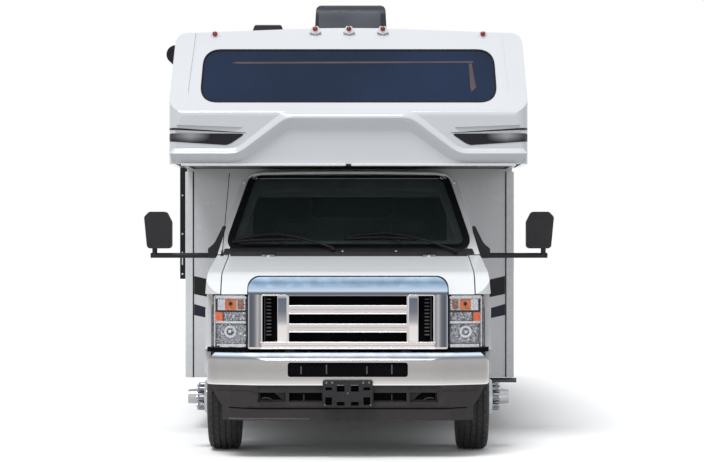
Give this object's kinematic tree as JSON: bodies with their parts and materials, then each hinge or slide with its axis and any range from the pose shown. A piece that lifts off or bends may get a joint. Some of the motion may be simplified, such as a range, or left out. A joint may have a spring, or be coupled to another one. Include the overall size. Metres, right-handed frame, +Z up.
{
  "type": "cab-over motorhome",
  "caption": "Motorhome with an over-cab bunk cap and wide front window on a cutaway van cab, twin rear wheels, opening doors and steered front wheels.",
  "frame": {"origin": "on the ground under the middle of the overall box", "axes": "+Z up, -Y towards the nose, +X towards the driver's side"},
  "size_m": [3.0738, 7.5, 3.58],
  "materials": {
    "cap_gelcoat": "gloss",
    "wall_laminate": "satin",
    "cab_paint": "gloss",
    "tinted_glass": "polished",
    "cab_glass": "polished",
    "black_plastic": "grained",
    "chrome": "polished",
    "wheel_steel": "satin",
    "frame_steel": "satin",
    "tyre": "matt",
    "engine_iron": "cast",
    "lamp_lens": "clear",
    "red_lens": "clear",
    "seat_cloth": "woven",
    "floor_board": "matt",
    "exhaust_steel": "satin",
    "awning_alloy": "powder coated"
  },
  "bodies": {
    "coach": {"cab_shell": "cab_paint", "front_fenders": "cab_paint", "windshield": "cab_glass", "cab_floor": "frame_steel", "dashboard": "black_plastic", "cab_seats": "seat_cloth", "front_cap": "cap_gelcoat", "front_window": "tinted_glass", "left_wall": "wall_laminate", "right_wall": "wall_laminate", "rear_wall": "wall_laminate", "front_wall": "wall_laminate", "house_roof": "wall_laminate", "side_windows": "tinted_glass", "floors": "floor_board", "locker_trays": "black_plastic", "entry_step": "frame_steel", "ladder_frame": "frame_steel", "front_axle": "frame_steel", "rear_axle": "frame_steel", "engine": "engine_iron", "driveline": "frame_steel", "fuel_tank": "black_plastic", "exhaust": "exhaust_steel", "radiator": "black_plastic", "grille": "chrome", "headlamps": "lamp_lens", "front_bumper": "chrome", "front_valance": "black_plastic", "plate_bracket": "black_plastic", "air_conditioner": "black_plastic", "roof_fittings": "lamp_lens", "awning": "awning_alloy", "marker_lamps": "red_lens", "rear_bumper": "frame_steel", "tow_hitch": "frame_steel", "tail_lamps": "red_lens"},
    "left_steering": {"left_knuckle": "frame_steel"},
    "right_steering": {"right_knuckle": "frame_steel"},
    "front_left_road_wheel": {"front_left_wheel": "wheel_steel", "front_left_tyre": "tyre"},
    "front_right_road_wheel": {"front_right_wheel": "wheel_steel", "front_right_tyre": "tyre"},
    "rear_left_twin_wheels": {"rear_left_wheels": "wheel_steel", "rear_left_tyres": "tyre"},
    "rear_right_twin_wheels": {"rear_right_wheels": "wheel_steel", "rear_right_tyres": "tyre"},
    "left_cab_door": {"left_door": "cab_paint", "left_door_glass": "cab_glass", "left_mirror": "black_plastic"},
    "right_cab_door": {"right_door": "cab_paint", "right_door_glass": "cab_glass", "right_mirror": "black_plastic"},
    "bonnet": {"hood": "cab_paint"},
    "house_door": {"entry_door": "wall_laminate", "entry_glass": "tinted_glass"},
    "left_locker": {"left_locker_lid": "wall_laminate"},
    "right_locker": {"right_locker_lid": "wall_laminate"},
    "hand_wheel": {"steering_wheel": "black_plastic"}
  },
  "joints": [
    {"name": "left_steer", "type": "hinge", "parent": "coach", "child": "left_steering", "pos_m": [0.79, -2.96, 0.372], "axis": [0, 0, 1], "range_deg": [-34, 34]},
    {"name": "right_steer", "type": "hinge", "parent": "coach", "child": "right_steering", "pos_m": [-0.79, -2.96, 0.372], "axis": [0, 0, 1], "range_deg": [-34, 34]},
    {"name": "front_left_spin", "type": "hinge", "parent": "left_steering", "child": "front_left_road_wheel", "pos_m": [0.881, -2.96, 0.372], "axis": [1, 0, 0], "continuous": true},
    {"name": "front_right_spin", "type": "hinge", "parent": "right_steering", "child": "front_right_road_wheel", "pos_m": [-0.881, -2.96, 0.372], "axis": [1, 0, 0], "continuous": true},
    {"name": "rear_left_spin", "type": "hinge", "parent": "coach", "child": "rear_left_twin_wheels", "pos_m": [0.988, 1.053, 0.372], "axis": [1, 0, 0], "continuous": true},
    {"name": "rear_right_spin", "type": "hinge", "parent": "coach", "child": "rear_right_twin_wheels", "pos_m": [-0.988, 1.053, 0.372], "axis": [1, 0, 0], "continuous": true},
    {"name": "left_door_hinge", "type": "hinge", "parent": "coach", "child": "left_cab_door", "pos_m": [1.004, -2.44, 1.2], "axis": [0, 0, -1], "range_deg": [0, 65]},
    {"name": "right_door_hinge", "type": "hinge", "parent": "coach", "child": "right_cab_door", "pos_m": [-1.004, -2.44, 1.2], "axis": [0, 0, 1], "range_deg": [0, 65]},
    {"name": "hood_hinge", "type": "hinge", "parent": "coach", "child": "bonnet", "pos_m": [0, -2.745, 1.378], "axis": [-1, 0, 0], "range_deg": [0, 50]},
    {"name": "entry_hinge", "type": "hinge", "parent": "coach", "child": "house_door", "pos_m": [-1.285, -0.46, 1.5], "axis": [0, 0, 1], "range_deg": [0, 165]},
    {"name": "left_locker_hinge", "type": "hinge", "parent": "coach", "child": "left_locker", "pos_m": [1.283, 2.65, 0.7], "axis": [0, -1, 0], "range_deg": [0, 100]},
    {"name": "right_locker_hinge", "type": "hinge", "parent": "coach", "child": "right_locker", "pos_m": [-1.283, 2.65, 0.7], "axis": [0, 1, 0], "range_deg": [0, 100]},
    {"name": "hand_wheel_turn", "type": "hinge", "parent": "coach", "child": "hand_wheel", "pos_m": [0.47, -2.18, 1.29], "axis": [0, 0.7071, 0.7071], "range_deg": [-515, 515]}
  ],
  "couplings": [
    {"joint": "right_steer", "follows": "left_steer", "ratio": 1},
    {"joint": "hand_wheel_turn", "follows": "left_steer", "ratio": 15}
  ]
}
